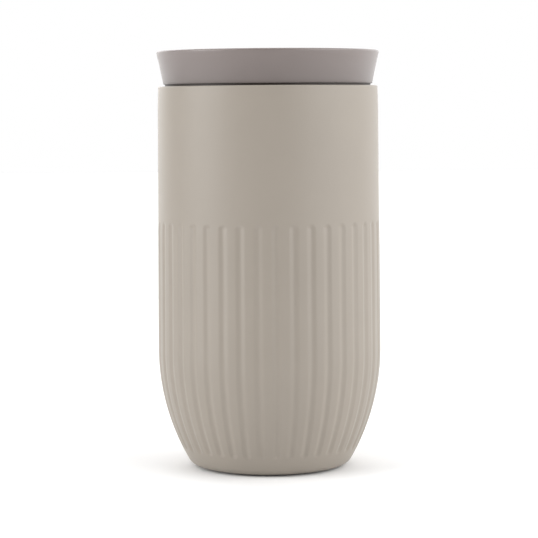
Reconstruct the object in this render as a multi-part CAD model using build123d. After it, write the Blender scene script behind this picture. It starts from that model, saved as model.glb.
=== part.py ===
from build123d import *
from math import asin, atan2, cos, degrees, hypot, pi, sin, sqrt
import os

# A vacuum-insulated travel cup with a push-in lid. The lid opens all round its lip when its top button is
# pressed: a first press latches the stopper open, a second press lets the spring close it.
# Millimetres, +Z up. The origin is the middle of the base, on the surface that the cup stands on.

# ---- cup, outside -------------------------------------------------------------------------------------
BODY_R = 38.2            # over the crests of the ribs, where the wall is widest
RIM_Z = 130.0            # top of the steel rim
WALL_LEAN = 0.53         # how much narrower the wall is at the rim than at the hip
SHELL_T = 0.5
RIM_LEAN = 0.1           # the last stretch of wall leans in a little more
RIM_LEAN_H = 6.0
RIM_EDGE = 0.45          # outer edge radius of the rim
RIM_T = 0.5              # thickness of the rim's flat top
HIP_Z = 40.5             # height where the wall starts to curve in
HIP_R = 2 * BODY_R       # radius of that curve: one diameter
HEEL_R = 4.0             # rounding between the curve and the base
HEEL_Z = 0.5             # underside of the shell, held up by the base pad

# ---- pressed flutes -----------------------------------------------------------------------------------
FLUTES = 40
FLUTE_DEPTH = 0.45
FLUTE_TOOL_R = 2.0       # section radius of one flute
FLUTE_TOP_Z = 85.0       # upper tips
FLUTE_LOW_Z = 6.2        # lower tips
BAND_STEP = 0.1          # the plain band above is this much smaller than the crests
CREST_FADE_H = 4.0       # height over which the crests run down to the band

# ---- cup, inside --------------------------------------------------------------------------------------
VACUUM_GAP = 3.2         # widest gap between the two walls
LINER_T = 0.5
LINER_FLOOR_Z = 9.0
LINER_HEEL_R = 11.0
LINER_EDGE = 0.4         # inner edge radius of the rim
FOIL_GAP = 0.03
FOIL_T = 0.12
FOIL_LOW_Z = HIP_Z + 2
FOIL_TOP_Z = RIM_Z - 8.5

# ---- base ---------------------------------------------------------------------------------------------
BASE_SHARE = 0.59        # the base opening's share of the body's radius
BASE_T = 0.5
PAD_T = 1.6
PAD_GAP = 0.15
PAD_EDGE = 0.3
PAD_GROOVES = 3
PAD_GROOVE_W = 1.4
PAD_GROOVE_DEPTH = 0.6
DIMPLE_R = 6.0
DIMPLE_H = 1.3
PORT_R = 0.8             # hole that the air is drawn out through
SEAL_T = 0.9
GETTER_R = 4.5
GETTER_HOLE_R = 2.4
GETTER_T = 2.0

# ---- lid, outside -------------------------------------------------------------------------------------
SEAM = 0.7               # open seam between rim and collar
LEDGE = 2.0              # the rim shows this much outside the collar's foot
COLLAR_FLARE = 2.4
COLLAR_H = 11.2
COLLAR_WALL = 1.5
COLLAR_SKIRT = 1.1
COLLAR_FOOT_EDGE = 0.3
LIP_W = 2.0              # width of the drinking lip
LIP_EDGE = 0.6
DECK_H = 1.8             # from the collar's foot up to the floor of the drinking well
DECK_T = 2.4

# ---- lid, plug ----------------------------------------------------------------------------------------
PLUG_WALL = 1.2
PLUG_DEPTH = 11.5        # below the rim
SEAT_W = 3.4             # width of the ledge that the stopper seals against
SPOKES = 4
SPOKE_W = 3.0
RIB_BITE = 0.5           # how far a spoke or rib runs into what it joins
SLEEVE_T = 0.65
SLEEVE_GAP = 0.03        # a soft piece to the rigid piece it is stretched over
FINS = 3
FIN_GAP = 0.1            # fin to liner, with the silicone shown as it sits when squeezed
FIN_ROOT = 1.0
FIN_TIP = 0.35
FIN_RISE = 0.5
FIN_REACH = 0.95
BRIM = 1.0               # overlap of the gasket's brim on the rim
REST_GAP = 0.02          # between faces that rest on each other
BEAD_H = 1.3
BEAD_OUT = 0.6

# ---- button, stopper and latch ------------------------------------------------------------------------
STROKE = 5.0             # full press
LATCHED = 4.0            # where the latch holds it open
BUTTON_GAP = 3.0         # between the button's edge and the drinking port's edge
BUTTON_DROP = 1.1        # button top below the lip
BUTTON_SKIN = 1.5
BUTTON_SKIRT = 1.5
BUTTON_DISH = 0.7
BUTTON_EDGE = 0.8
BUTTON_RIBS = 6
BUTTON_RIB_W = 1.2
STOP_GAP = 0.2
BOSS_R = 6.9
BOSS_WALL = 1.9
SLIDE_GAP = 0.1          # boss in hub
KEYS = 3
KEY_W = 1.4
KEY_H = 0.8
KEY_GAP = 0.2
HUB_WALL = 3.0
HUB_FLOOR_T = 2.6
STEM_R = 2.4
STEM_GAP = 0.3
THREAD_R = 1.8           # the stem's threaded end, below its shoulder
THREAD_GAP = 0.05
CUP_GAP = 0.8            # stopper's cup to hub
STOPPER_WALL = 1.5
STOPPER_FLOOR_T = 1.8
STOPPER_EDGE = 1.2
FLANGE_T = 2.6
FLOW_GAP = 1.2           # stopper's edge to plug wall
SEAL_W = 2.4
SEAL_LEDGE = 1.5         # how deep the seal is let into the flange
SEAL_LIP = 0.9           # height of the seal's bead above the flange
SEAL_OUT = 0.8           # the seal overhangs the flange
SEAT_GAP = 0.05
NUT_R = 7.5
NUT_H = 4.0
NUT_TOP_T = 0.8
NUT_EDGE = 0.8
NUT_LOBES = 6
NUT_LOBE_R = 1.6
RING_W = 1.5             # section of both O-rings
RING_GAP = 0.05          # O-ring to the face that it wipes
SPRING_WIRE = 0.7
SPRING_R = 3.9
SPRING_TURNS = 7
WIRE_R = 0.45            # latch pin
WIRE_GAP = 0.25
WIRE_BEND_R = 0.6
ARM = 7.5
SWING = 2.0              # sideways travel of the pin's tip
TRACK_DEPTH = 1.3
TIP_GAP = 0.3            # pin's tip to the bottom of the track
LEAF_T = 0.2
LEAF_W = 1.8
LEAF_H = 5.5
LEAF_LIFT = 1.2          # leaf above the pivot

# ---- sizes that follow from the above -----------------------------------------------------------------
BAND_R = BODY_R - WALL_LEAN                # the wall just below the rim
RIM_R = BAND_R - RIM_LEAN
MOUTH_R = BODY_R - SHELL_T - VACUUM_GAP - LINER_T
LINER_R = MOUTH_R + LINER_T
BASE_R = BASE_SHARE * BODY_R
PAD_R = BASE_R - BASE_T - PAD_GAP
COLLAR_FOOT_R = RIM_R - LEDGE
COLLAR_TOP_R = COLLAR_FOOT_R + COLLAR_FLARE
SKIRT_IN_R = COLLAR_FOOT_R - COLLAR_SKIRT
PLUG_R = MOUTH_R - FIN_GAP - FIN_REACH - SLEEVE_T
PLUG_BORE_R = PLUG_R - PLUG_WALL
LIP_IN_R = COLLAR_TOP_R - LIP_W
PORT_OUT_R = PLUG_BORE_R - SEAT_W          # drinking port in the deck
BUTTON_R = PORT_OUT_R - BUTTON_GAP
SEAL_R = PLUG_BORE_R - FLOW_GAP
HUB_BORE_R = BOSS_R + SLIDE_GAP
HUB_R = HUB_BORE_R + HUB_WALL
CUP_R = HUB_R + CUP_GAP
FOOT_Z = RIM_Z + SEAM                      # underside of the collar
LIP_Z = FOOT_Z + COLLAR_H
DECK_Z = FOOT_Z + DECK_H                   # floor of the drinking well
SEAT_Z = DECK_Z - DECK_T                   # face that the stopper seals against
PLUG_Z = RIM_Z - PLUG_DEPTH
BUTTON_Z = DECK_Z + STROKE + STOP_GAP      # underside of the button
BUTTON_TOP_Z = LIP_Z - BUTTON_DROP
ROOF_Z = BUTTON_TOP_Z - BUTTON_SKIN
GLAND_Z = DECK_Z - RING_W - RING_GAP       # middle of the O-ring on the boss
TRACK_TOP_Z = GLAND_Z - 2 * RING_W
TIP_Z = TRACK_TOP_Z - STROKE               # latch pin's tip, with the button up
PIVOT_Z = TIP_Z - ARM
BOSS_Z = TIP_Z - TRACK_DEPTH               # lower end of the boss
HUB_FLOOR_Z = BOSS_Z - STROKE - 2 * STOP_GAP
HUB_Z = HUB_FLOOR_Z - HUB_FLOOR_T
STEM_RING_Z = (HUB_Z + HUB_FLOOR_Z) / 2
STOPPER_TOP_Z = HUB_Z - 2 * STOP_GAP       # floor of the stopper's cup
STOPPER_Z = STOPPER_TOP_Z - STOPPER_FLOOR_T
FLANGE_TOP_Z = SEAT_Z - STOP_GAP - SEAL_LIP
FLANGE_Z = FLANGE_TOP_Z - FLANGE_T
NUT_Z = STOPPER_Z - NUT_H
SPRING_TOP_Z = TRACK_TOP_Z + STOP_GAP      # roof of the boss's bore
KEY_TOP_Z = BOSS_Z + 2 * KEY_W
LATCH_X = HUB_BORE_R + WIRE_GAP + WIRE_R   # the latch pin's arm lies in the hub's wall
SWING_ANGLE = asin(SWING / ARM)


# ---- helpers ------------------------------------------------------------------------------------------
def at(r, z):
    """A point of a turned section."""
    return (r, 0, z)


def turned(*edges):
    """The solid that a closed section in the XZ plane makes when it is turned about Z."""
    return revolve(make_face(Curve() + list(edges)), Axis.Z)


def turned_polygon(*points):
    return turned(Polyline([at(r, z) for r, z in points], close=True))


def ring(r_in, r_out, z_low, z_high):
    """A plain ring, or a disc when r_in is 0."""
    return turned_polygon((r_in, z_low), (r_out, z_low), (r_out, z_high), (r_in, z_high))


def rounded(solid, z, r, radius):
    """The solid with its circular edge at that height and radius rounded."""
    circles = solid.edges().filter_by(GeomType.CIRCLE)
    found = [e for e in circles if abs(e.center().Z - z) < 1e-4 and abs(e.radius - r) < 1e-4]
    return fillet(found, radius)


def spaced(count, shape, first=0):
    """Copies of a shape at equal steps about Z."""
    return [Rot(0, 0, 360 / count * (n + first)) * shape for n in range(count)]


def o_ring(middle_r, z):
    return Pos(0, 0, z) * Torus(middle_r, RING_W / 2)


# ---- cup ----------------------------------------------------------------------------------------------
def wall_edges(inset, heel_r, floor_z, top):
    """A wall's section, an inset inside the body's surface: heel, long curve, then straight to the top.
    Returns the edges and the floor point that they start from."""
    arc_r = HIP_R - inset
    centre_r = BODY_R - HIP_R
    heel_z = floor_z + heel_r
    heel_x = centre_r + sqrt((arc_r - heel_r) ** 2 - (HIP_Z - heel_z) ** 2)
    meet = atan2(HIP_Z - heel_z, heel_x - centre_r)
    tangent = at(centre_r + arc_r * cos(meet), HIP_Z - arc_r * sin(meet))
    curve_mid = at(centre_r + arc_r * cos(meet / 2), HIP_Z - arc_r * sin(meet / 2))
    heel_turn = (meet + pi / 2) / 2
    heel_mid = at(heel_x + heel_r * cos(heel_turn), heel_z - heel_r * sin(heel_turn))
    start = at(heel_x, floor_z)
    hip = at(BODY_R - inset, HIP_Z)
    heel = ThreePointArc(start, heel_mid, tangent)
    curve = ThreePointArc(tangent, curve_mid, hip)
    return [heel, curve, Line(hip, top)], start


def lean(z):
    """How much narrower the straight wall is at that height than at the hip."""
    return WALL_LEAN * (z - HIP_Z) / (RIM_Z - RIM_LEAN_H - HIP_Z)


def flute_cutter(extra=0):
    """One flute at +X, as a rod with ball ends that follows the wall. extra thickens it."""
    out = FLUTE_TOOL_R - FLUTE_DEPTH
    tip = sqrt(FLUTE_TOOL_R**2 - out**2)
    top_z = FLUTE_TOP_Z - tip
    arc_r = HIP_R + out
    bend_angle = asin((HIP_Z - FLUTE_LOW_Z) / HIP_R) - tip / HIP_R
    disc = Pos(BODY_R + out, 0, HIP_Z) * Circle(FLUTE_TOOL_R + extra)
    ball = Sphere(FLUTE_TOOL_R + extra)
    rod = extrude(disc, top_z - HIP_Z, dir=(-lean(top_z), 0, top_z - HIP_Z))
    bend = revolve(disc, Axis((BODY_R - HIP_R, 0, HIP_Z), (0, 1, 0)), revolution_arc=degrees(bend_angle))
    low = at(BODY_R - HIP_R + arc_r * cos(bend_angle), HIP_Z - arc_r * sin(bend_angle))
    return rod + bend + Pos(*at(BODY_R + out - lean(top_z), top_z)) * ball + Pos(*low) * ball


def outer_shell():
    """The fluted steel body. Its flutes are pressed, so they show on the inside as well."""
    crest_end = FLUTE_TOP_Z - CREST_FADE_H
    neck_z = RIM_Z - RIM_LEAN_H
    crest_top = at(BODY_R - lean(crest_end), crest_end)
    edges, start = wall_edges(0, HEEL_R, HEEL_Z, crest_top)
    band_low = at(BODY_R - BAND_STEP - lean(FLUTE_TOP_Z), FLUTE_TOP_Z)
    to_axis = Polyline(
        crest_top, band_low, at(BAND_R, neck_z), at(RIM_R, RIM_Z), at(0, RIM_Z), at(0, HEEL_Z), start)
    outside = rounded(turned(*edges, to_axis), RIM_Z, RIM_R, RIM_EDGE)
    neck = at(BAND_R - SHELL_T, neck_z)
    floor_z = HEEL_Z + SHELL_T
    roof_z = RIM_Z - RIM_T
    edges, start = wall_edges(SHELL_T, HEEL_R - SHELL_T, floor_z, neck)
    to_axis = Polyline(neck, at(RIM_R - SHELL_T, roof_z), at(0, roof_z), at(0, floor_z), start)
    inside = turned(*edges, to_axis) - spaced(FLUTES, flute_cutter(SHELL_T), 0.5)
    shell = outside - spaced(FLUTES, flute_cutter(), 0.5) - inside
    return shell - ring(0, LINER_R, roof_z, RIM_Z) - ring(0, BASE_R, HEEL_Z, floor_z)


def inner_liner():
    inset = BODY_R - MOUTH_R
    mouth = at(MOUTH_R, RIM_Z)
    edges, start = wall_edges(inset, LINER_HEEL_R, LINER_FLOOR_Z, mouth)
    inside = turned(*edges, Polyline(mouth, at(0, RIM_Z), at(0, LINER_FLOOR_Z), start))
    mouth = at(LINER_R, RIM_Z)
    under_z = LINER_FLOOR_Z - LINER_T
    edges, start = wall_edges(inset - LINER_T, LINER_HEEL_R + LINER_T, under_z, mouth)
    outside = turned(*edges, Polyline(mouth, at(0, RIM_Z), at(0, under_z), start))
    return rounded(outside - inside, RIM_Z, MOUTH_R, LINER_EDGE)


def reflector_foil():
    return ring(LINER_R + FOIL_GAP, LINER_R + FOIL_GAP + FOIL_T, FOIL_LOW_Z, FOIL_TOP_Z)


def base_disc():
    """A pressed disc with a turned-down edge, and a dimple for the vacuum seal."""
    high = PAD_T + BASE_T
    return turned_polygon(
        (PORT_R, PAD_T + DIMPLE_H), (DIMPLE_R, PAD_T + DIMPLE_H), (DIMPLE_R, PAD_T),
        (BASE_R - BASE_T, PAD_T), (BASE_R - BASE_T, HEEL_Z), (BASE_R, HEEL_Z), (BASE_R, high),
        (DIMPLE_R + BASE_T, high),
        (DIMPLE_R + BASE_T, high + DIMPLE_H), (PORT_R, high + DIMPLE_H))


def base_pad():
    """A soft disc with ring grooves underneath. It is what the cup stands on."""
    pad = rounded(ring(0, PAD_R, 0, PAD_T), 0, PAD_R, PAD_EDGE)
    for n in range(PAD_GROOVES):
        middle = PAD_R * (n + 1) / (PAD_GROOVES + 1)
        pad -= ring(middle - PAD_GROOVE_W / 2, middle + PAD_GROOVE_W / 2, 0, PAD_GROOVE_DEPTH)
    return pad


def vacuum_seal():
    return ring(0, DIMPLE_R - PAD_GAP, PAD_T + DIMPLE_H - SEAL_T, PAD_T + DIMPLE_H)


def getter():
    """A pressed ring of gas-absorbing metal, fixed to the base disc beside the dimple."""
    capsule = rounded(ring(GETTER_HOLE_R, GETTER_R, 0, GETTER_T), GETTER_T, GETTER_R, GETTER_T / 5)
    return Pos((DIMPLE_R + BASE_R) / 2, 0, PAD_T + BASE_T) * capsule


# ---- lid ----------------------------------------------------------------------------------------------
def lid_collar():
    """The flared drinking collar: a skirt round the plug's flange, and a funnel down to the deck."""
    collar = turned_polygon(
        (SKIRT_IN_R, FOOT_Z), (COLLAR_FOOT_R, FOOT_Z), (COLLAR_TOP_R, LIP_Z), (LIP_IN_R, LIP_Z),
        (PLUG_BORE_R, DECK_Z), (SKIRT_IN_R, DECK_Z))
    collar = rounded(collar, LIP_Z, COLLAR_TOP_R, LIP_EDGE)
    collar = rounded(collar, LIP_Z, LIP_IN_R, LIP_EDGE)
    collar = rounded(collar, FOOT_Z, COLLAR_FOOT_R, COLLAR_FOOT_EDGE)
    deck_out_r = COLLAR_FOOT_R + COLLAR_FLARE * DECK_H / COLLAR_H
    thick = deck_out_r - PLUG_BORE_R
    rise = (thick - 2 * COLLAR_WALL) / (thick - LIP_W)
    peak = (deck_out_r + (COLLAR_TOP_R - deck_out_r) * rise - COLLAR_WALL, DECK_Z + (LIP_Z - DECK_Z) * rise)
    core = turned_polygon((PLUG_BORE_R + COLLAR_WALL, DECK_Z), (SKIRT_IN_R, DECK_Z), peak)
    return collar - core


def lid_body():
    """The plug: a flanged tube with the sealing seat, and spokes to the hub that the button slides in."""
    bead_r = PLUG_R + BEAD_OUT
    body = turned_polygon(
        (PORT_OUT_R, SEAT_Z), (PLUG_BORE_R, SEAT_Z), (PLUG_BORE_R, PLUG_Z), (PLUG_R, PLUG_Z),
        (bead_r, PLUG_Z + BEAD_OUT), (bead_r, PLUG_Z + BEAD_H), (PLUG_R, PLUG_Z + BEAD_H),
        (PLUG_R, FOOT_Z), (SKIRT_IN_R, FOOT_Z), (SKIRT_IN_R, DECK_Z), (PORT_OUT_R, DECK_Z))
    spoke = Pos((HUB_R + PORT_OUT_R) / 2, 0, DECK_Z - DECK_T / 2) * Box(
        PORT_OUT_R - HUB_R + 2 * RIB_BITE, SPOKE_W, DECK_T)
    body += spaced(SPOKES, spoke, 0.5)
    body += ring(HUB_BORE_R, HUB_R, HUB_FLOOR_Z, DECK_Z)
    body += ring(STEM_R + STEM_GAP, HUB_R, HUB_Z, HUB_FLOOR_Z)
    groove_r = STEM_R + RING_GAP + RING_W
    body -= ring(STEM_R, groove_r, STEM_RING_Z - RING_W / 2, STEM_RING_Z + RING_W / 2)
    key_mid = (HUB_FLOOR_Z + KEY_TOP_Z) / 2
    key = Pos(HUB_BORE_R, 0, key_mid) * Box(2 * KEY_H, KEY_W, KEY_TOP_Z - HUB_FLOOR_Z)
    body += [Rot(0, 0, 90 * (n + 1)) * key for n in range(KEYS)]
    return body - latch_pocket()


def latch_pocket():
    """A pocket in the hub's wall that the latch pin swings in, and the hole for the pin's pivot leg."""
    low = PIVOT_Z - WIRE_R - WIRE_GAP
    high = TIP_Z + WIRE_R + WIRE_GAP
    half_low = 2 * WIRE_R + WIRE_GAP
    half_high = SWING + WIRE_R + WIRE_GAP
    outline = Polyline((0, -half_low, low), (0, half_low, low), (0, half_high, high), (0, -half_high, high),
                       close=True)
    depth = LATCH_X + WIRE_R + 2 * LEAF_T
    pocket = Pos(BOSS_R - KEY_H, 0, 0) * extrude(make_face(outline), depth - BOSS_R + KEY_H, dir=(1, 0, 0))
    hole = extrude(Plane.YZ * Circle(WIRE_R + RING_GAP), HUB_R - LATCH_X - LEAF_T)
    return pocket + Pos(LATCH_X, 0, PIVOT_Z) * hole


def lid_gasket():
    """A silicone sleeve with fins that wipe the cup's bore, and a brim that rests on the rim."""
    inner_r = PLUG_R + SLEEVE_GAP
    sleeve_r = PLUG_R + SLEEVE_T
    fin_r = MOUTH_R - FIN_GAP
    low = PLUG_Z + BEAD_H + SLEEVE_GAP
    top = FOOT_Z - REST_GAP
    gasket = ring(inner_r, sleeve_r, low, top) + ring(inner_r, MOUTH_R + BRIM, RIM_Z + REST_GAP, top)
    pitch = (RIM_Z - low) / (FINS + 0.5)
    for n in range(FINS):
        z = low + pitch * (n + 0.5)
        tip_z = z + FIN_RISE
        gasket += turned_polygon(
            (inner_r, z - FIN_ROOT / 2), (sleeve_r, z - FIN_ROOT / 2), (fin_r, tip_z - FIN_TIP / 2),
            (fin_r, tip_z + FIN_TIP / 2), (sleeve_r, z + FIN_ROOT / 2), (inner_r, z + FIN_ROOT / 2))
    return gasket


def stem_o_ring():
    return o_ring(STEM_R + RING_GAP + RING_W / 2, STEM_RING_Z)


# ---- what moves with the button -----------------------------------------------------------------------
def button_cap():
    """The round button, dished for the thumb, with a socket for the core and stiffening ribs."""
    cap = rounded(ring(0, BUTTON_R, BUTTON_Z, BUTTON_TOP_Z), BUTTON_TOP_Z, BUTTON_R, BUTTON_EDGE)
    dish_r = BUTTON_R - 2 * BUTTON_SKIRT
    ball_r = (dish_r**2 + BUTTON_DISH**2) / (2 * BUTTON_DISH)
    cap -= Pos(0, 0, BUTTON_TOP_Z - BUTTON_DISH + ball_r) * Rot(90, 0, 0) * Sphere(ball_r)
    socket_r = BOSS_R + SLEEVE_GAP
    hollow_in = socket_r + BUTTON_SKIRT
    hollow_out = BUTTON_R - BUTTON_SKIRT
    cap -= ring(hollow_in, hollow_out, BUTTON_Z, ROOF_Z)
    cap -= ring(0, socket_r, BUTTON_Z, ROOF_Z)
    rib = Pos((hollow_in + hollow_out) / 2, 0, (BUTTON_Z + ROOF_Z) / 2) * Box(
        hollow_out - hollow_in + 2 * RIB_BITE, BUTTON_RIB_W, ROOF_Z - BUTTON_Z)
    return cap + spaced(BUTTON_RIBS, rib)


def heart_track():
    """The heart-shaped path of the latch pin: up one side, into the notch, and down the other side."""
    side_z = TIP_Z + STROKE - ARM * (1 - cos(SWING_ANGLE))
    corners = [(0, TIP_Z), (-SWING, side_z), (0, TIP_Z + LATCHED), (SWING, side_z)]
    width = 2 * (WIRE_R + WIRE_GAP)
    depth = 2 * TRACK_DEPTH
    lanes = []
    for (y0, z0), (y1, z1) in zip(corners, corners[1:] + corners[:1]):
        tilt = Rot(degrees(atan2(z1 - z0, y1 - y0)), 0, 0)
        lane = Box(depth, hypot(y1 - y0, z1 - z0), width)
        lanes.append(Pos(0, (y0 + y1) / 2, (z0 + z1) / 2) * tilt * lane)
        lanes.append(Pos(0, y0, z0) * Rot(0, 90, 0) * Cylinder(width / 2, depth))
    return [Pos(BOSS_R, 0, 0) * lane for lane in lanes]


def button_core():
    """The sliding boss with the latch track, and the stem that carries the stopper."""
    core = ring(0, BOSS_R, BOSS_Z, ROOF_Z) - ring(STEM_R, BOSS_R - BOSS_WALL, BOSS_Z, SPRING_TOP_Z)
    core += ring(0, STEM_R, STOPPER_TOP_Z, BOSS_Z) + ring(0, THREAD_R, NUT_Z + NUT_TOP_T, STOPPER_TOP_Z)
    core -= ring(HUB_BORE_R - RING_GAP - RING_W, HUB_BORE_R, GLAND_Z - RING_W / 2, GLAND_Z + RING_W / 2)
    way_top = KEY_TOP_Z + STROKE + KEY_GAP
    way = Pos(BOSS_R, 0, (BOSS_Z + way_top) / 2) * Box(
        2 * (KEY_H + KEY_GAP), KEY_W + 2 * KEY_GAP, way_top - BOSS_Z)
    core -= [Rot(0, 0, 90 * (n + 1)) * way for n in range(KEYS)]
    return core - heart_track()


def boss_o_ring():
    return o_ring(HUB_BORE_R - RING_GAP - RING_W / 2, GLAND_Z)


def return_spring():
    low = HUB_FLOOR_Z + SPRING_WIRE / 2 + RING_GAP
    high = SPRING_TOP_Z - SPRING_WIRE / 2 - RING_GAP
    coil = Helix(pitch=(high - low) / SPRING_TURNS, height=high - low, radius=SPRING_R)
    wire = Plane(coil @ 0, z_dir=coil % 0) * Circle(SPRING_WIRE / 2)
    return Pos(0, 0, low) * sweep(wire, path=coil)


def latch_pin():
    """A bent wire: a pivot leg outwards, an arm upwards, and a tip inwards to the track."""
    pivot_end = (HUB_R - 2 * LEAF_T, 0, PIVOT_Z)
    tip_end = (BOSS_R - TRACK_DEPTH + TIP_GAP, 0, TIP_Z)
    bends = [(LATCH_X, 0, PIVOT_Z), (LATCH_X, 0, TIP_Z)]
    path = FilletPolyline(pivot_end, *bends, tip_end, radius=WIRE_BEND_R)
    return sweep(Pos(*pivot_end) * (Plane.YZ * Circle(WIRE_R)), path=path)


def latch_leaf():
    """A strip of spring steel behind the pin's arm. It keeps the tip down in the track."""
    x = LATCH_X + WIRE_R + LEAF_T
    return Pos(x + LEAF_T / 2, 0, PIVOT_Z + LEAF_LIFT + LEAF_H / 2) * Box(LEAF_T, LEAF_W, LEAF_H)


def stopper():
    """A flange that carries the seal, with a cup that clears the hub."""
    cup_out = CUP_R + STOPPER_WALL
    ledge_z = FLANGE_TOP_Z - SEAL_LEDGE
    hole_r = THREAD_R + THREAD_GAP
    body = turned_polygon(
        (hole_r, STOPPER_Z), (cup_out, STOPPER_Z), (cup_out, FLANGE_Z), (SEAL_R - SEAL_OUT, FLANGE_Z),
        (SEAL_R - SEAL_OUT, ledge_z), (SEAL_R - SEAL_W, ledge_z), (SEAL_R - SEAL_W, FLANGE_TOP_Z),
        (CUP_R, FLANGE_TOP_Z), (CUP_R, STOPPER_TOP_Z), (hole_r, STOPPER_TOP_Z))
    return rounded(body, STOPPER_Z, cup_out, STOPPER_EDGE)


def stopper_seal():
    """The ring on the flange's edge, with a raised bead that meets the seat."""
    inner = SEAL_R - SEAL_W + SLEEVE_GAP
    low = FLANGE_TOP_Z - SEAL_LEDGE + REST_GAP
    top = SEAT_Z - SEAT_GAP
    shoulder = top - SEAL_LIP
    return turned_polygon(
        (inner, low), (SEAL_R, low), (SEAL_R, shoulder), (SEAL_R - SEAL_LIP, top),
        (SEAL_R - 2 * SEAL_LIP, top), (SEAL_R - 2 * SEAL_LIP, shoulder), (inner, shoulder))


def stopper_nut():
    """A thumb nut with finger hollows. It comes off so that the stopper can be cleaned."""
    nut = rounded(ring(0, NUT_R, NUT_Z, STOPPER_Z), NUT_Z, NUT_R, NUT_EDGE)
    hollow = Pos(NUT_R + NUT_LOBE_R / 2, 0, (NUT_Z + STOPPER_Z) / 2) * Cylinder(NUT_LOBE_R, 2 * NUT_H)
    return nut - spaced(NUT_LOBES, hollow) - ring(0, THREAD_R + THREAD_GAP, NUT_Z + NUT_TOP_T, STOPPER_Z)


PIECES = {
    "outer_shell": outer_shell,
    "inner_liner": inner_liner,
    "reflector_foil": reflector_foil,
    "base_disc": base_disc,
    "base_pad": base_pad,
    "vacuum_seal": vacuum_seal,
    "getter": getter,
    "lid_collar": lid_collar,
    "lid_body": lid_body,
    "lid_gasket": lid_gasket,
    "stem_o_ring": stem_o_ring,
    "latch_leaf": latch_leaf,
    "latch_pin": latch_pin,
    "button_cap": button_cap,
    "button_core": button_core,
    "boss_o_ring": boss_o_ring,
    "return_spring": return_spring,
    "stopper": stopper,
    "stopper_seal": stopper_seal,
    "stopper_nut": stopper_nut,
}

os.makedirs("parts", exist_ok=True)
for node, make in PIECES.items():
    export_step(make(), f"parts/{node}.step")
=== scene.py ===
# %% [markdown]
# # A fluted travel cup with a push-in lid
# The engineering model of the cup is already there as a fixed frame: twenty solids in metres, with their
# joints. This lesson dresses it. The visible turned pieces get finer meshes, every piece gets a finish
# made of nodes, and a small studio is built round the cup.

# %% Load the frame
import math

import bpy
import numpy as np
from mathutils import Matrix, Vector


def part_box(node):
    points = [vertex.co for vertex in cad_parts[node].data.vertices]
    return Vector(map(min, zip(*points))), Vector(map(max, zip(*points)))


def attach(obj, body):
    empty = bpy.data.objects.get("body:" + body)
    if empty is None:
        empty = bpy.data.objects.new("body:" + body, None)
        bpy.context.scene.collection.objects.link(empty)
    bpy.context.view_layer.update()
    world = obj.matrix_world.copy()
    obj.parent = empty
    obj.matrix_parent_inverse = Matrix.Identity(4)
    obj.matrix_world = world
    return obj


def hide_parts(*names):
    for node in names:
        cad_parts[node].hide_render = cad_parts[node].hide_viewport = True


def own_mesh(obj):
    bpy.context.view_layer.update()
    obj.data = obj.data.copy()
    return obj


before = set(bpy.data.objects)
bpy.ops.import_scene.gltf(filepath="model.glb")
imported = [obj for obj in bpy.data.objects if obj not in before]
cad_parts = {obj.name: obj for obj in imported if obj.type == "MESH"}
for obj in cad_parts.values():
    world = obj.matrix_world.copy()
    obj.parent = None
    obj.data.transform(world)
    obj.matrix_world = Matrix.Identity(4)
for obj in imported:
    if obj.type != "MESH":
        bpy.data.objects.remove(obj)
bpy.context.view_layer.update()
MM = 0.001

# %% [markdown]
# ## Turning a section
# Nearly every piece of this cup is round, so nearly every mesh is made as a lathe makes it: a closed
# section in the radius-height plane is carried round the axis. Blender's Screw modifier could do that, but
# building the rings in code lets a later cell push the flutes in while the wall is being turned.
# Real edges are never sharp, so a section is a list of corners, each with its own rounding.

# %% Rounded sections
ARC_STEPS = 6


def arc(centre, radius, start, end, steps):
    """Points along an arc, from one angle to another, both included."""
    turns = np.linspace(start, end, steps + 1)
    return [(centre[0] + radius * math.cos(t), centre[1] + radius * math.sin(t)) for t in turns]


def rounded(corners, steps=ARC_STEPS):
    """A closed section from corners (radius, height, rounding), in millimetres."""
    points = []
    for i, (r, z, rounding) in enumerate(corners):
        if not rounding:
            points.append((r, z))
            continue
        here = np.array((r, z), dtype=float)
        before = np.array(corners[i - 1][:2]) - here
        after = np.array(corners[(i + 1) % len(corners)][:2]) - here
        before /= np.linalg.norm(before)
        after /= np.linalg.norm(after)
        half = math.acos(np.clip(before @ after, -1, 1)) / 2
        middle = before + after
        centre = here + middle / np.linalg.norm(middle) * rounding / math.sin(half)
        first = here + before * rounding / math.tan(half) - centre
        last = here + after * rounding / math.tan(half) - centre
        start = math.atan2(first[1], first[0])
        sweep = math.atan2(last[1], last[0]) - start
        sweep = (sweep + math.pi) % (2 * math.pi) - math.pi
        points += arc(centre, rounding, start, start + sweep, steps)
    return points


one_round_corner = rounded([(0, 0, 0), (4, 0, 1), (4, 4, 0), (0, 4, 0)])
print("a square with one round corner has", len(one_round_corner), "points")

# %% Turn a section into a mesh
COLUMNS = 192
SHARP = math.radians(40)


def finished_mesh(name, verts, faces, body, *nodes):
    """Makes the object, shades it, lets it ride on its body and stand for its CAD nodes."""
    mesh = bpy.data.meshes.new(name)
    mesh.from_pydata(verts, [], faces)
    mesh.validate()
    mesh.shade_smooth()
    mesh.set_sharp_from_angle(angle=SHARP)
    piece = bpy.data.objects.new(name, mesh)
    bpy.context.scene.collection.objects.link(piece)
    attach(piece, body)
    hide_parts(*nodes)
    print(name, "has", len(mesh.polygons), "faces")
    return piece


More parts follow.
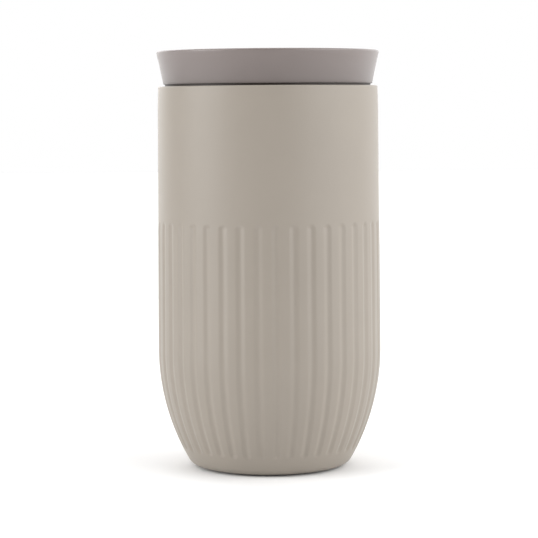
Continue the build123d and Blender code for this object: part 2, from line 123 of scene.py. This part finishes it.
def turned(name, section, body, *nodes, columns=COLUMNS):
    """Carries a closed section, in millimetres, once round the Z axis."""
    verts, rings = [], []
    for r, z in section:
        if r < 1e-6:
            rings.append([len(verts)] * columns)
            verts.append((0, 0, z * MM))
            continue
        rings.append(list(range(len(verts), len(verts) + columns)))
        for n in range(columns):
            turn = 2 * math.pi * n / columns
            verts.append((r * math.cos(turn) * MM, r * math.sin(turn) * MM, z * MM))
    faces = []
    for low, high in zip(rings, rings[1:] + rings[:1]):
        for n in range(columns):
            m = (n + 1) % columns
            corners = list(dict.fromkeys((low[n], low[m], high[m], high[n])))
            if len(corners) > 2:
                faces.append(corners)
    return finished_mesh(name, verts, faces, body, *nodes)


# %% [markdown]
# ## The fluted body
# The real body is a steel tube, necked in at the base, with forty shallow flutes pressed into it and a
# coat of matte powder over everything. The flutes could be a bump map, but they show at the outline and
# they catch the side light, so they are real geometry: each point of the wall is pushed inwards by the
# depth of the nearest flute. A flute is measured as the distance from its middle line, and that line stops
# short of both ends, which rounds the tips like a ball-ended punch.

# %% Sizes of the body
def reach(name):
    """Radius, lowest and highest point of an engineering solid, in millimetres."""
    low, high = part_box(name)
    return min(high.x, high.y) / MM, low.z / MM, high.z / MM


BODY_R, HEEL_Z, RIM_Z = reach("outer_shell")
BASE_R = reach("base_disc")[0]
LINER_R = reach("inner_liner")[0]
WALL_LEAN, BAND_STEP, CREST_FADE_H = 0.53, 0.1, 4.0
RIM_LEAN, RIM_LEAN_H, RIM_EDGE = 0.14, 8.0, 0.45
HIP_Z, HIP_R, HEEL_R = 40.5, 2 * BODY_R, 4.0
FLUTES, FLUTE_DEPTH, FLUTE_HALF_W = 40, 0.38, 1.85
FLUTE_TOP_Z, FLUTE_LOW_Z = 85.0, 6.2
INNER_SKIN = 1.0         # the unseen side of the wall, inside the vacuum gap
print(f"body radius {BODY_R:.1f}, from {HEEL_Z:.1f} up to {RIM_Z:.1f} mm")


# %% The wall's outline
def eased(t):
    t = min(max(t, 0.0), 1.0)
    return t * t * (3 - 2 * t)


def wall_radius(z):
    """Radius of the straight part of the wall, over the crests or on the plain band."""
    lean = WALL_LEAN * (z - HIP_Z) / (RIM_Z - RIM_LEAN_H - HIP_Z)
    neck = RIM_LEAN * eased((z - RIM_Z + RIM_LEAN_H) / RIM_LEAN_H)
    step = BAND_STEP * eased((z - FLUTE_TOP_Z + CREST_FADE_H) / CREST_FADE_H)
    return BODY_R - lean - neck - step


def hip_point(turn, inset=0.0):
    """A point of the long curve, a turn below the hip."""
    return BODY_R - HIP_R + (HIP_R - inset) * math.cos(turn), HIP_Z - (HIP_R - inset) * math.sin(turn)


def heel_centre():
    z = HEEL_Z + HEEL_R
    return BODY_R - HIP_R + math.sqrt((HIP_R - HEEL_R) ** 2 - (HIP_Z - z) ** 2), z


heel = heel_centre()
meet = math.atan2(HIP_Z - heel[1], heel[0] - (BODY_R - HIP_R))
low_tip_turn = math.asin((HIP_Z - FLUTE_LOW_Z) / HIP_R)
TIP_STRETCH = 4.0        # length near a flute's tip that needs closely spaced rings
tip_turn = TIP_STRETCH / HIP_R
hip_turns = np.concatenate([
    np.linspace(meet, low_tip_turn - tip_turn, 26)[:-1],
    np.linspace(low_tip_turn - tip_turn, 0, 40)[:-1],
])
heights = np.concatenate([
    np.linspace(HIP_Z, FLUTE_TOP_Z - 5, 8)[:-1],
    np.linspace(FLUTE_TOP_Z - 5, FLUTE_TOP_Z + 1, 25)[:-1],
    np.linspace(FLUTE_TOP_Z + 1, RIM_Z - RIM_LEAN_H, 5)[:-1],
    np.linspace(RIM_Z - RIM_LEAN_H, RIM_Z - RIM_EDGE, 5),
])
outside = [(BASE_R, HEEL_Z), (heel[0] - 1, HEEL_Z)]
outside += arc(heel, HEEL_R, -math.pi / 2, -meet, 12)
outside += [hip_point(t) for t in hip_turns[1:]]
outside += [(wall_radius(z), z) for z in heights]
rim_r = wall_radius(RIM_Z)
outside += arc((rim_r - RIM_EDGE, RIM_Z - RIM_EDGE), RIM_EDGE, 0, math.pi / 2, 8)[1:]
outside += [(LINER_R + 1, RIM_Z), (LINER_R, RIM_Z)]
print("outline of", len(outside), "points")
print("the heel meets the long curve at", round(math.degrees(meet), 1), "degrees")


# %% Press the flutes
def flute_depth(across, beyond, half_width):
    """Depth of a flute at a distance across it and beyond the end of its middle line."""
    distance = math.hypot(across, max(beyond, 0.0)) / half_width
    return FLUTE_DEPTH * (0.5 + 0.5 * math.cos(math.pi * distance)) if distance < 1 else 0.0


def along(points):
    """Distance along a path, for each of its points."""
    steps = np.hypot(*np.diff(np.array(points), axis=0).T)
    return np.concatenate([[0.0], np.cumsum(steps)])


PER_FLUTE = 16
columns = FLUTES * PER_FLUTE
travel = along(outside)
z_of = np.array([p[1] for p in outside])
rising = slice(2, int(np.argmax(z_of)))
low_end = float(np.interp(FLUTE_LOW_Z, z_of[rising], travel[rising]))
top_end = float(np.interp(FLUTE_TOP_Z, z_of[rising], travel[rising]))
tangent = np.gradient(np.array(outside), travel, axis=0)
tangent /= np.linalg.norm(tangent, axis=1)[:, None]
middle_angle = -math.pi / 2 + math.pi / FLUTES      # a crest, not a flute, faces -Y

verts, rings = [], []
for i, (r, z) in enumerate(outside):
    half_width = FLUTE_HALF_W * math.sqrt(r / BODY_R)
    beyond = max(low_end + half_width - travel[i], travel[i] - top_end + half_width)
    rings.append(len(verts))
    for n in range(columns):
        turn = middle_angle + 2 * math.pi * n / columns
        off = (n + PER_FLUTE / 2) % PER_FLUTE - PER_FLUTE / 2
        across = abs(off) * 2 * math.pi / columns * r
        depth = flute_depth(across, beyond, half_width)
        radius = r - depth * tangent[i][1]
        height = z + depth * tangent[i][0]
        verts.append((radius * math.cos(turn) * MM, radius * math.sin(turn) * MM, height * MM))
inside = [(LINER_R, RIM_Z - 0.5), (rim_r - INNER_SKIN, RIM_Z - 0.5)]
inside += [(wall_radius(z) - INNER_SKIN, z) for z in (RIM_Z - 10, FLUTE_TOP_Z, 60, HIP_Z)]
inside += [hip_point(t, INNER_SKIN) for t in np.linspace(0, meet, 16)[1:]]
inside += [(heel[0], HEEL_Z + 0.6), (BASE_R, HEEL_Z + 0.5)]
for r, z in inside:
    rings.append(len(verts))
    for n in range(columns):
        turn = middle_angle + 2 * math.pi * n / columns
        verts.append((r * math.cos(turn) * MM, r * math.sin(turn) * MM, z * MM))
faces = []
for low, high in zip(rings, rings[1:] + rings[:1]):
    for n in range(columns):
        m = (n + 1) % columns
        faces.append((low + n, low + m, high + m, high + n))
body_shell = finished_mesh("body_shell", verts, faces, "cup", "outer_shell")

# %% [markdown]
# ## The liner
# The drink sits in a second steel cup, deep drawn, polished and left bare. It follows the body's long
# curve a few millimetres further in, and meets the coated shell at the rim, where the two are welded.

# %% Turn the liner
LINER_T, LINER_HEEL_R, LINER_EDGE = 0.5, 11.0, 0.4
LINER_FLOOR_Z = reach("inner_liner")[1] + LINER_T
MOUTH_R = LINER_R - LINER_T


def liner_wall(inset, floor_z, heel_r, steps):
    """The liner's section from the axis up to the straight wall."""
    z = floor_z + heel_r
    r = BODY_R - HIP_R + math.sqrt((HIP_R - inset - heel_r) ** 2 - (HIP_Z - z) ** 2)
    join = math.atan2(HIP_Z - z, r - (BODY_R - HIP_R))
    path = [(0, floor_z)] + [(r * k / 4, floor_z) for k in (1, 2, 3)]
    path += arc((r, z), heel_r, -math.pi / 2, -join, steps)
    return path + [hip_point(t, inset) for t in np.linspace(join, 0, 2 * steps)[1:]]


inner = liner_wall(BODY_R - MOUTH_R, LINER_FLOOR_Z, LINER_HEEL_R, 16)
outer = liner_wall(BODY_R - LINER_R, LINER_FLOOR_Z - LINER_T, LINER_HEEL_R + LINER_T, 16)
edge = arc((MOUTH_R + LINER_EDGE, RIM_Z - LINER_EDGE), LINER_EDGE, math.pi, math.pi / 2, 6)
climb = [(MOUTH_R, z) for z in (60, 80, 100, 115)]
steel_cup = turned("steel_liner", inner + climb + edge + [(LINER_R, RIM_Z), (LINER_R, 85)] + outer[::-1],
                   "cup", "inner_liner")

# %% [markdown]
# ## The lid
# The collar is one moulding: a cone that flares towards the lip, with a softly rounded drinking edge and
# a funnel inside that leads down to the deck. Moulded cones are hollowed by a hair as they cool, and that
# hollow is what bends the highlight, so the outer side is a very flat arc, not a straight line.

# %% Turn the collar
collar_r, FOOT_Z, LIP_Z = reach("lid_collar")
COLLAR_FLARE, COLLAR_SAG, COLLAR_SKIRT = 2.4, 0.08, 1.1
LIP_W, LIP_EDGE = 2.0, 0.6
LIP_SHORTFALL = 0.13     # the rounded lip stops this far inside the cone's own corner
COLLAR_TOP_R = collar_r + LIP_SHORTFALL
COLLAR_FOOT_R = COLLAR_TOP_R - COLLAR_FLARE
DECK_Z = reach("lid_body")[2]
PLUG_BORE_R = 31.1
lip_in_r = COLLAR_TOP_R - LIP_W
section = rounded([
    (COLLAR_FOOT_R - COLLAR_SKIRT, FOOT_Z, 0.15), (COLLAR_FOOT_R, FOOT_Z, 0.25),
    (COLLAR_TOP_R, LIP_Z, LIP_EDGE), (lip_in_r, LIP_Z, LIP_EDGE + 0.3),
    (PLUG_BORE_R, DECK_Z, 0.2), (COLLAR_FOOT_R - COLLAR_SKIRT, DECK_Z, 0)], steps=8)


def hollowed(points):
    """Adds the flat hollow to the collar's outer side."""
    made = []
    for (r0, z0), (r1, z1) in zip(points, points[1:] + points[:1]):
        made.append((r0, z0))
        if r0 > COLLAR_FOOT_R - 0.3 and z1 - z0 > (LIP_Z - FOOT_Z) / 2:
            for t in np.linspace(0, 1, 13)[1:-1]:
                made.append((r0 + (r1 - r0) * t - COLLAR_SAG * 4 * t * (1 - t), z0 + (z1 - z0) * t))
    return made


collar = turned("drinking_collar", hollowed(section), "lid", "lid_collar", columns=256)

# %% [markdown]
# ## The button
# The round button fills the middle of the lid and is pressed with a thumb. Its top is dished a little, so
# that a thumb finds the middle, and it is hollow underneath, as a moulding is. It is turned like the collar.

# %% Turn the button
BUTTON_R, BUTTON_Z, BUTTON_TOP_Z = reach("button_cap")
BUTTON_EDGE, BUTTON_DISH, BUTTON_RIM_W = 0.9, 0.7, 3.0
BUTTON_SKIRT, BUTTON_ROOF, BUTTON_CHAMFER = 1.5, 1.6, 0.2
dish_r = BUTTON_R - BUTTON_RIM_W
dish = [(dish_r * t, BUTTON_TOP_Z - BUTTON_DISH * (1 - t * t)) for t in np.linspace(1, 0, 14)]
skirt_r = BUTTON_R - BUTTON_SKIRT
top = arc((BUTTON_R - BUTTON_EDGE, BUTTON_TOP_Z - BUTTON_EDGE), BUTTON_EDGE, 0, math.pi / 2, 8)
roof_z = BUTTON_TOP_Z - BUTTON_ROOF
section = [(0, roof_z), (skirt_r - 0.3, roof_z), (skirt_r, roof_z - 0.3)]
section += [(skirt_r, BUTTON_Z + BUTTON_CHAMFER), (skirt_r + BUTTON_CHAMFER, BUTTON_Z)]
section += [(BUTTON_R - BUTTON_CHAMFER, BUTTON_Z), (BUTTON_R, BUTTON_Z + BUTTON_CHAMFER)]
section += top + [(dish_r + 0.6, BUTTON_TOP_Z)] + dish
button = turned("press_button", section, "button", "button_cap", columns=256)

# %% [markdown]
# ## The return spring
# The spring is wound from hard drawn steel wire, and its last turn is closed at both ends so that it stands
# square. It rides with the button, but on the real lid its foot stays on the hub's floor while the top goes
# down.

# %% Wind the spring
WIRE_R, OPEN_TURNS, CLOSED_TURNS = 0.35, 6, 1
WIRE_SIDES, STEPS_PER_TURN = 10, 36
coil_r, coil_low, coil_high = reach("return_spring")
CLOSED_PITCH = 2.1 * WIRE_R      # a closed turn climbs by little more than the wire's thickness
closed_rise = CLOSED_TURNS * CLOSED_PITCH
wound = [0, CLOSED_TURNS, CLOSED_TURNS + OPEN_TURNS, 2 * CLOSED_TURNS + OPEN_TURNS]
first_z, last_z = coil_low + WIRE_R, coil_high - WIRE_R
risen = [first_z, first_z + closed_rise, last_z - closed_rise, last_z]

verts, faces = [], []
coil_steps = wound[-1] * STEPS_PER_TURN
for i in range(coil_steps + 1):
    turns = i / STEPS_PER_TURN
    z = float(np.interp(turns, wound, risen))
    turn = 2 * math.pi * turns
    for k in range(WIRE_SIDES):
        side = 2 * math.pi * k / WIRE_SIDES
        r = coil_r - WIRE_R + WIRE_R * math.cos(side)
        verts.append((r * math.cos(turn) * MM, r * math.sin(turn) * MM, (z + WIRE_R * math.sin(side)) * MM))
for i in range(coil_steps):
    for k in range(WIRE_SIDES):
        m, n, on = i * WIRE_SIDES + k, i * WIRE_SIDES + (k + 1) % WIRE_SIDES, WIRE_SIDES
        faces.append((m, m + on, n + on, n))
faces.append(list(range(WIRE_SIDES)))
faces.append(list(range(len(verts) - 1, len(verts) - 1 - WIRE_SIDES, -1)))
coil = finished_mesh("coil_spring", verts, faces, "button", "return_spring")
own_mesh(coil)

# %% [markdown]
# ## Finishes
# A finish is more than a colour. Each one below starts from what the real process leaves behind: powder
# coat cures into a faint orange-peel skin, a mould leaves a spark-eroded grain, a drawing die leaves fine
# rings. All patterns are made from noise in the piece's own space, so nothing has to be unwrapped, and the
# grain has the same size on every piece.

# %% Node helpers
def new_finish(name):
    """A material with its shader, and a helper that adds and wires nodes."""
    finish = bpy.data.materials.new(name)
    finish.use_nodes = True
    tree = finish.node_tree
    tree.nodes.clear()
    output = tree.nodes.new("ShaderNodeOutputMaterial")
    shader = tree.nodes.new("ShaderNodeBsdfPrincipled")
    tree.links.new(shader.outputs["BSDF"], output.inputs["Surface"])
    return finish, tree, shader


def node(tree, kind, inputs=None, **settings):
    """Adds a node, sets its properties, then its inputs: a value sets a socket and a socket links it."""
    made = tree.nodes.new(kind)
    for key, value in settings.items():
        setattr(made, key, value)
    for key, value in (inputs or {}).items():
        if isinstance(value, bpy.types.NodeSocket):
            tree.links.new(value, made.inputs[key])
        else:
            made.inputs[key].default_value = value
    return made


def place(tree, stretch=(1, 1, 1)):
    """Coordinates in metres in the piece's own space, with an optional stretch."""
    source = node(tree, "ShaderNodeTexCoord").outputs["Object"]
    return node(tree, "ShaderNodeMapping", {"Vector": source, "Scale": stretch}).outputs["Vector"]


def noise(tree, where, grain_mm, detail=2.0):
    """Noise whose lumps are about grain_mm across."""
    made = node(tree, "ShaderNodeTexNoise", {"Vector": where, "Scale": 1 / (grain_mm * MM), "Detail": detail})
    return made.outputs["Fac"]


def between(tree, fac, low, high):
    """Noise brought to a range."""
    return node(tree, "ShaderNodeMapRange", {
        "Value": fac, "From Min": 0.25, "From Max": 0.75, "To Min": low, "To Max": high}).outputs["Result"]


def tinted(tree, colour, fac, change):
    """The colour, made a little darker and lighter by noise."""
    dark = tuple(c * (1 - change) for c in colour) + (1,)
    light = tuple(min(c * (1 + change), 1) for c in colour) + (1,)
    ramp = node(tree, "ShaderNodeMix", {"Factor": between(tree, fac, 0, 1)}, data_type="RGBA")
    ramp.inputs[6].default_value = dark
    ramp.inputs[7].default_value = light
    return ramp.outputs[2]


def edges(tree, low, high):
    """A value that changes where the surface turns a convex corner, which is where hands and bags rub."""
    corner = node(tree, "ShaderNodeNewGeometry").outputs["Pointiness"]
    return node(tree, "ShaderNodeMapRange", {
        "Value": corner, "From Min": 0.51, "From Max": 0.56, "To Min": low, "To Max": high}).outputs["Result"]


def bumped(tree, height, depth_mm, below=None):
    inputs = {"Height": height, "Distance": depth_mm * MM, "Strength": 1.0}
    if below is not None:
        inputs["Normal"] = below
    return node(tree, "ShaderNodeBump", inputs).outputs["Normal"]


def srgb(r, g, b):
    """A colour as seen on screen, from 0 to 255, as the linear values that shaders use."""
    return tuple(((v / 255 + 0.055) / 1.055) ** 2.4 if v > 10 else v / 255 / 12.92 for v in (r, g, b))


# %% [markdown]
# The coat on the body is a matte powder paint. It has two scales of texture: a skin that waves every
# millimetre or so, and a sandy grain much finer than that. Here and there a speck of dust was under it.

# %% Powder coat
def powder_coat(name, colour):
    finish, tree, shader = new_finish(name)
    where = place(tree)
    cloud = noise(tree, where, 14.0, 3.0)
    peel = noise(tree, where, 0.9, 1.0)
    grain = noise(tree, where, 0.16, 2.0)
    cells = node(tree, "ShaderNodeTexVoronoi", {"Vector": where, "Scale": 1 / (9.0 * MM), "Randomness": 1.0})
    speck = node(tree, "ShaderNodeMapRange", {
        "Value": cells.outputs["Distance"], "From Min": 0.015, "From Max": 0.05, "To Min": 1.0, "To Max": 0.0})
    paint = tinted(tree, colour, cloud, 0.015)
    flecked = node(tree, "ShaderNodeMix", {"Factor": node(tree, "ShaderNodeMath", {
        0: speck.outputs["Result"], 1: 0.12}, operation="MULTIPLY").outputs[0]}, data_type="RGBA")
    tree.links.new(paint, flecked.inputs[6])
    flecked.inputs[7].default_value = tuple(c * 0.6 for c in colour) + (1,)
    tree.links.new(flecked.outputs[2], shader.inputs["Base Color"])
    rubbed = node(tree, "ShaderNodeMath", {0: between(tree, grain, 0.40, 0.48), 1: edges(tree, 1.0, 0.8)},
                  operation="MULTIPLY").outputs[0]
    tree.links.new(rubbed, shader.inputs["Roughness"])
    shader.inputs["Specular IOR Level"].default_value = 0.45
    skin = bumped(tree, peel, 0.012)
    tree.links.new(bumped(tree, grain, 0.004, skin), shader.inputs["Normal"])
    return finish


coat = powder_coat("coat_taupe", srgb(146, 138, 128))


# %% [markdown]
# Plastic and silicone both come out of a steel mould whose walls were spark eroded, so both carry a fine even
# grain and a faint flow of colour. One helper makes them all; what differs is colour, gloss and grain size.

# %% Moulded plastic and silicone
def moulded(name, colour, roughness=(0.48, 0.6), grain_mm=0.22, depth_mm=0.006, change=0.02,
            specular=0.4, sheen=0.0):
    """Plastic or rubber from a spark-eroded mould."""
    finish, tree, shader = new_finish(name)
    where = place(tree)
    flow = noise(tree, place(tree, (1, 1, 3)), 18.0, 2.0)
    grain = noise(tree, where, grain_mm, 2.0)
    tree.links.new(tinted(tree, colour, flow, change), shader.inputs["Base Color"])
    rubbed = node(tree, "ShaderNodeMath", {0: between(tree, grain, *roughness), 1: edges(tree, 1.0, 0.75)},
                  operation="MULTIPLY").outputs[0]
    tree.links.new(rubbed, shader.inputs["Roughness"])
    shader.inputs["Specular IOR Level"].default_value = specular
    shader.inputs["Sheen Weight"].default_value = sheen
    tree.links.new(bumped(tree, grain, depth_mm), shader.inputs["Normal"])
    return finish


lid_plastic = moulded("plastic_lid", srgb(107, 96, 92), roughness=(0.4, 0.48), specular=0.9, sheen=0.3)


def painted_shade_by_height(finish, low_z, high_z, low, high):
    """Paints shade and light into a finish's colour: multiplies it by a value that runs from low to high over a
    height in millimetres.
    """
    tree = finish.node_tree
    shader = next(n for n in tree.nodes if n.type == "BSDF_PRINCIPLED")
    colour = shader.inputs["Base Color"].links[0].from_socket
    height = node(tree, "ShaderNodeSeparateXYZ", {"Vector": node(tree, "ShaderNodeTexCoord").outputs["Object"]})
    painted_shade_and_light = node(tree, "ShaderNodeMapRange", {
        "Value": height.outputs["Z"], "From Min": low_z * MM, "From Max": high_z * MM,
        "To Min": low, "To Max": high})
    scaled = node(tree, "ShaderNodeVectorMath", {0: colour, 1: painted_shade_and_light.outputs["Result"]}, operation="MULTIPLY")
    tree.links.new(scaled.outputs[0], shader.inputs["Base Color"])


# Painted shade and painted light: the lid's colour is darker towards the collar's foot and lighter towards its
# lip, as if lit from above.
painted_shade_by_height(lid_plastic, FOOT_Z, LIP_Z, 0.84, 1.05)
plug_plastic = moulded("plastic_plug", srgb(118, 108, 105), roughness=(0.35, 0.45))
natural_plastic = moulded("plastic_natural", srgb(222, 219, 210), roughness=(0.3, 0.42))
silicone = moulded("silicone_gasket", srgb(52, 44, 40), roughness=(0.6, 0.75), grain_mm=0.35)
pad_silicone = moulded("silicone_foot", srgb(92, 84, 79), roughness=(0.65, 0.8), grain_mm=0.4, depth_mm=0.01)


# %% [markdown]
# The metals inside differ by how they were worked. The liner was spun, so its fine lines run round it; the
# wire was drawn, so its lines run along it. Stretching the noise along one direction makes both.

# %% Metals
def worked_metal(name, colour, stretch, roughness, depth_mm=0.002, line_mm=0.3, tarnish=0.03):
    """Bare metal with fine lines left by spinning, rolling or drawing."""
    finish, tree, shader = new_finish(name)
    lines = noise(tree, place(tree, stretch), line_mm, 3.0)
    cloud = noise(tree, place(tree), 9.0, 2.0)
    tree.links.new(tinted(tree, colour, cloud, tarnish), shader.inputs["Base Color"])
    shader.inputs["Metallic"].default_value = 1.0
    tree.links.new(between(tree, lines, *roughness), shader.inputs["Roughness"])
    tree.links.new(bumped(tree, lines, depth_mm), shader.inputs["Normal"])
    return finish


liner_steel = worked_metal("steel_spun", srgb(203, 202, 200), (0.02, 0.02, 1), (0.22, 0.34))
sheet_steel = worked_metal("steel_sheet", srgb(196, 196, 197), (1, 0.03, 1), (0.3, 0.42))
wire_steel = worked_metal("steel_wire", srgb(188, 188, 190), (1, 1, 0.2), (0.2, 0.3), line_mm=0.15)
copper_foil = worked_metal("copper_foil", srgb(214, 148, 112), (1, 1, 1), (0.18, 0.3),
                           line_mm=2.5, depth_mm=0.02)
getter_metal = worked_metal("getter_metal", srgb(150, 150, 152), (1, 1, 1), (0.45, 0.6), line_mm=0.2)
solder_glass = moulded("solder_glass", srgb(92, 96, 100), roughness=(0.12, 0.25), grain_mm=1.2, specular=0.6)


# %% [markdown]
# Each piece gets its finish here, in one place. An engineering solid keeps its shape and only changes its
# material.

# %% Hand out the finishes
def finish_piece(piece, material):
    piece.data.materials.clear()
    piece.data.materials.append(material)


finish_piece(body_shell, coat)
finish_piece(steel_cup, liner_steel)
finish_piece(collar, lid_plastic)
finish_piece(button, lid_plastic)
finish_piece(coil, wire_steel)
CAD_FINISHES = {
    "reflector_foil": copper_foil, "base_disc": sheet_steel, "base_pad": pad_silicone,
    "vacuum_seal": solder_glass, "getter": getter_metal, "lid_body": plug_plastic,
    "lid_gasket": silicone, "stem_o_ring": silicone, "latch_leaf": wire_steel, "latch_pin": wire_steel,
    "button_core": natural_plastic, "boss_o_ring": silicone,
    "stopper": plug_plastic, "stopper_seal": silicone, "stopper_nut": plug_plastic,
}
for name, material in CAD_FINISHES.items():
    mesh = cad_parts[name].data
    mesh.materials.clear()
    mesh.materials.append(material)
print(len(CAD_FINISHES), "engineering solids keep their shape and get a finish")

# %% [markdown]
# ## The studio
# The cup stands on white, between two large softboxes, with the darkest part of the room behind the
# camera. That is what gives a matte cylinder its shape: bright edges, a calmer middle. The camera is level
# with the upper part of the cup and looks slightly down.

# %% Floor
FLOOR_SIZE = 6.0


def floor_mesh(name, size, cells=24):
    steps = np.linspace(-size / 2, size / 2, cells + 1)
    verts = [(x, y, 0) for y in steps for x in steps]
    row = cells + 1
    faces = [(j * row + i, j * row + i + 1, (j + 1) * row + i + 1, (j + 1) * row + i)
             for j in range(cells) for i in range(cells)]
    mesh = bpy.data.meshes.new(name)
    mesh.from_pydata(verts, [], faces)
    made = bpy.data.objects.new(name, mesh)
    bpy.context.scene.collection.objects.link(made)
    return made


floor = floor_mesh("floor", FLOOR_SIZE)
paper = moulded("paper_white", (0.9, 0.9, 0.9), roughness=(0.8, 0.9), grain_mm=0.5, change=0.003)
floor.data.materials.append(paper)


# %% [markdown]
# ## The light
# Area lamps close to the cup would leave bright pools on the floor. The light here comes from the world
# instead: its colour depends only on direction, so a soft-edged patch of it acts as a large softbox far away.
# The left one is narrow and strong, the right one is broad, the wall behind the cup is lit, and nothing
# shines from the front. Camera rays see plain white, which is how a catalogue page looks.

# %% Surroundings
world = bpy.data.worlds.new("studio")
bpy.context.scene.world = world
world.use_nodes = True
sky = world.node_tree
sky.nodes.clear()
direction = node(sky, "ShaderNodeTexCoord").outputs["Generated"]
aim = node(sky, "ShaderNodeSeparateXYZ", {"Vector": direction}).outputs


def maths(tree, operation, *values):
    """A Math node; a value may be a number or a socket."""
    return node(tree, "ShaderNodeMath", dict(enumerate(values)), operation=operation).outputs[0]


around = maths(sky, "ARCTAN2", aim["X"], maths(sky, "MULTIPLY", aim["Y"], -1.0))    # 0 is the camera's side
above = maths(sky, "ARCSINE", aim["Z"])


def panel(azimuth, width, height, rise, strength, soft=9.0):
    """A patch of light with soft sides: where its middle is, how wide, how far it fades up and down."""
    away = maths(sky, "ABSOLUTE", maths(
        sky, "WRAP", maths(sky, "SUBTRACT", around, math.radians(azimuth)), math.pi, -math.pi))
    across = node(sky, "ShaderNodeMapRange", {
        "Value": away, "From Min": math.radians(width / 2 - soft), "From Max": math.radians(width / 2 + soft),
        "To Min": strength, "To Max": 0.0}, interpolation_type="SMOOTHSTEP").outputs["Result"]
    off_height = maths(sky, "ABSOLUTE", maths(sky, "SUBTRACT", above, math.radians(height)))
    up = node(sky, "ShaderNodeMapRange", {
        "Value": off_height, "From Min": 0.0, "From Max": math.radians(rise),
        "To Min": 1.0, "To Max": 0.0}).outputs["Result"]
    return maths(sky, "MULTIPLY", across, up)


left_box = panel(-69, 42, 15, 50, 6.5)
right_box = panel(70, 66, 15, 50, 4.15)
back_wall = panel(170, 126, 15, 50, 2.2)
back_left = panel(-155, 56, 15, 50, 0.9)
overhead = panel(10, 190, 60, 35, 0.65, soft=40)
ceiling = panel(0, 400, 90, 42, 1.75)
light = 0.0
for patch in (left_box, right_box, back_wall, back_left, overhead, ceiling):
    light = maths(sky, "ADD", light, patch)
room = node(sky, "ShaderNodeBackground", {"Color": (1, 1, 1, 1), "Strength": light})
page = node(sky, "ShaderNodeBackground", {"Color": (1, 1, 1, 1), "Strength": 1.0})
seen = node(sky, "ShaderNodeLightPath").outputs["Is Camera Ray"]
mixed = node(sky, "ShaderNodeMixShader", {0: seen, 1: room.outputs[0], 2: page.outputs[0]})
node(sky, "ShaderNodeOutputWorld", {"Surface": mixed.outputs[0]})
bpy.context.scene.view_settings.view_transform = "Standard"
print("six patches of light")

# %% [markdown]
# ## The camera
# A long lens from about 0.7 m keeps the sides of the cup nearly parallel. The camera sits just below the rim
# and looks slightly down, so the rim is seen almost edge on and the base as a shallow curve.

# %% Camera
CAMERA_DISTANCE, CAMERA_HEIGHT = 0.688, 0.1235
CAMERA_PITCH, CAMERA_AROUND, CAMERA_ROLL = math.radians(4.66), math.radians(0.9), math.radians(-0.4)
camera_data = bpy.data.cameras.new("camera")
camera_data.lens = 134.5
camera_data.clip_start, camera_data.clip_end = 0.05, 20
camera = bpy.data.objects.new("camera", camera_data)
bpy.context.scene.collection.objects.link(camera)
camera.location = (CAMERA_DISTANCE * math.sin(CAMERA_AROUND), -CAMERA_DISTANCE * math.cos(CAMERA_AROUND),
                   CAMERA_HEIGHT)
camera.rotation_mode = "XYZ"
tilt = Matrix.Rotation(math.pi / 2 - CAMERA_PITCH, 4, "X")
turn = Matrix.Rotation(CAMERA_AROUND, 4, "Z")
roll = Matrix.Rotation(CAMERA_ROLL, 4, "Z")
camera.rotation_euler = (turn @ tilt @ roll).to_euler()
bpy.context.scene.camera = camera
